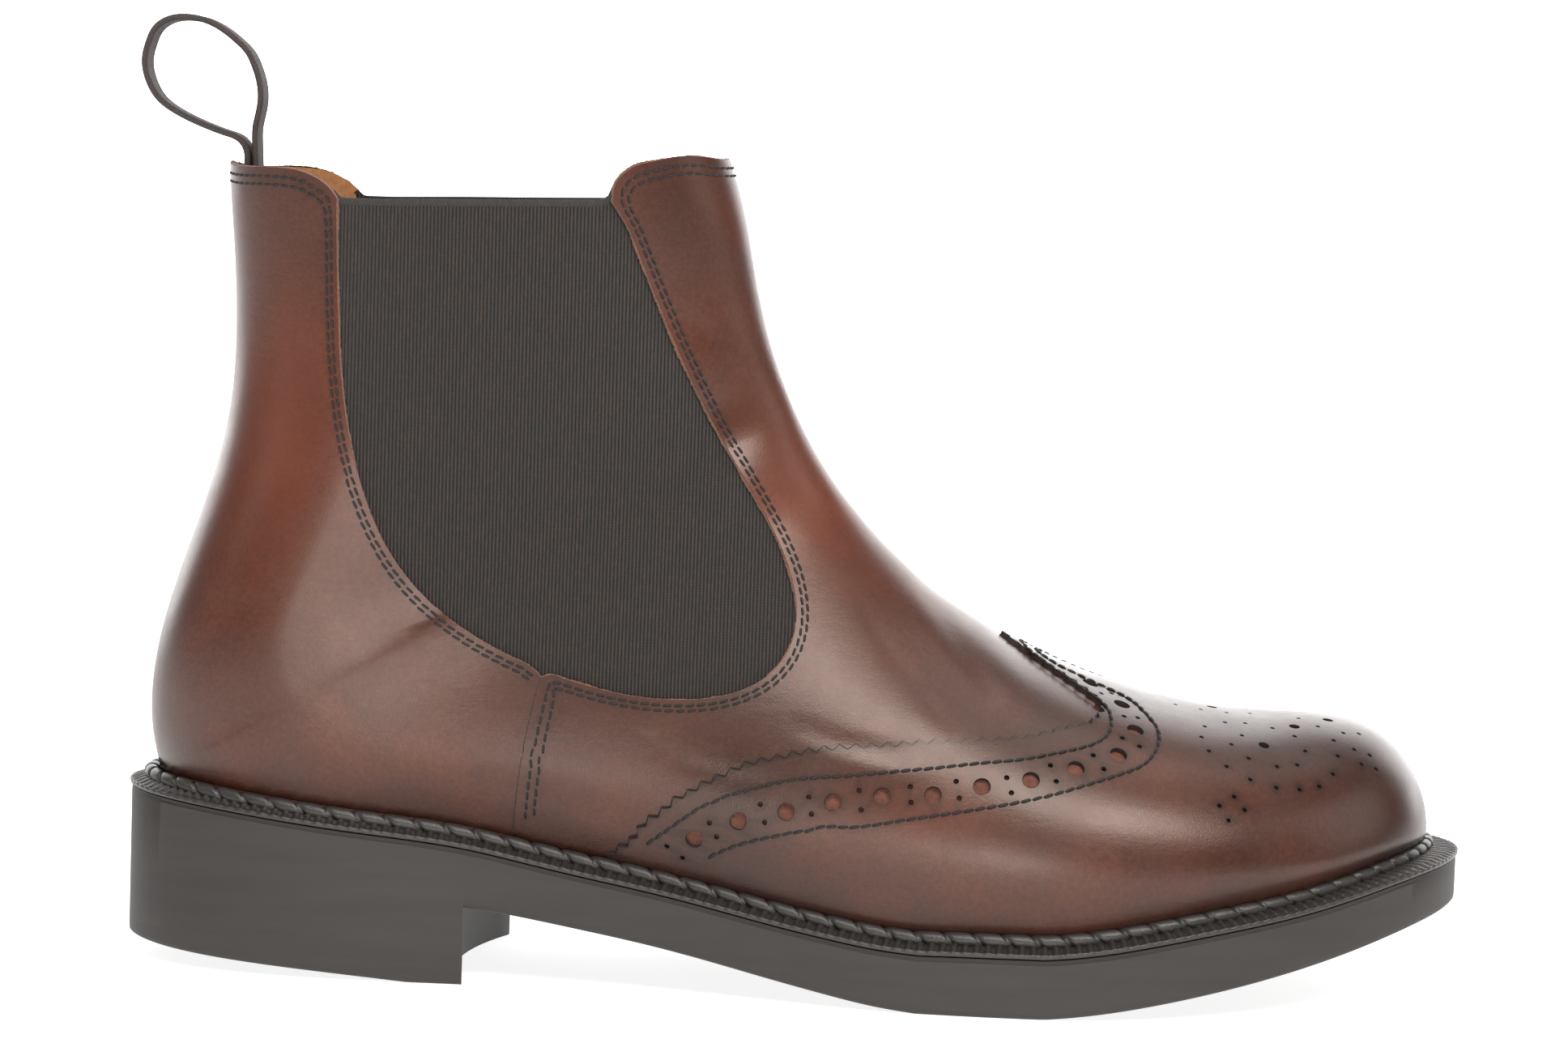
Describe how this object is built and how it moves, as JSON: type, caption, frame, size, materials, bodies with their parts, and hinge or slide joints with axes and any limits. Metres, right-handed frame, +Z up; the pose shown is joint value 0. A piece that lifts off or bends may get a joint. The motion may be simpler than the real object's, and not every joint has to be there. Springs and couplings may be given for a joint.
{
  "type": "brogued chelsea boot",
  "caption": "Ankle boot with a pierced wing cap, elastic side gores, heel pull tape, round toe, welted rubber sole and low block heel.",
  "frame": {"origin": "on the floor under the middle of the boot's overall length and width", "axes": "+X towards the toe, +Z up, -Y towards the outer side of a right foot"},
  "size_m": [0.3052, 0.1056, 0.2131],
  "materials": {
    "sole_rubber": "matte black rubber",
    "welt_rubber": "dark satin rubber",
    "upper_leather": "polished burgundy brown leather",
    "cap_leather": "polished burgundy brown leather, burnished",
    "elastic": "ribbed black elastic",
    "sock_leather": "plain tan lining leather",
    "tape": "dark woven tape"
  },
  "bodies": {
    "root": {"outsole": "sole_rubber", "welt": "welt_rubber", "upper": "upper_leather", "wing_cap": "cap_leather", "gore_lateral": "elastic", "gore_medial": "elastic", "insole": "sock_leather", "pull_loop": "tape"}
  },
  "joints": []
}
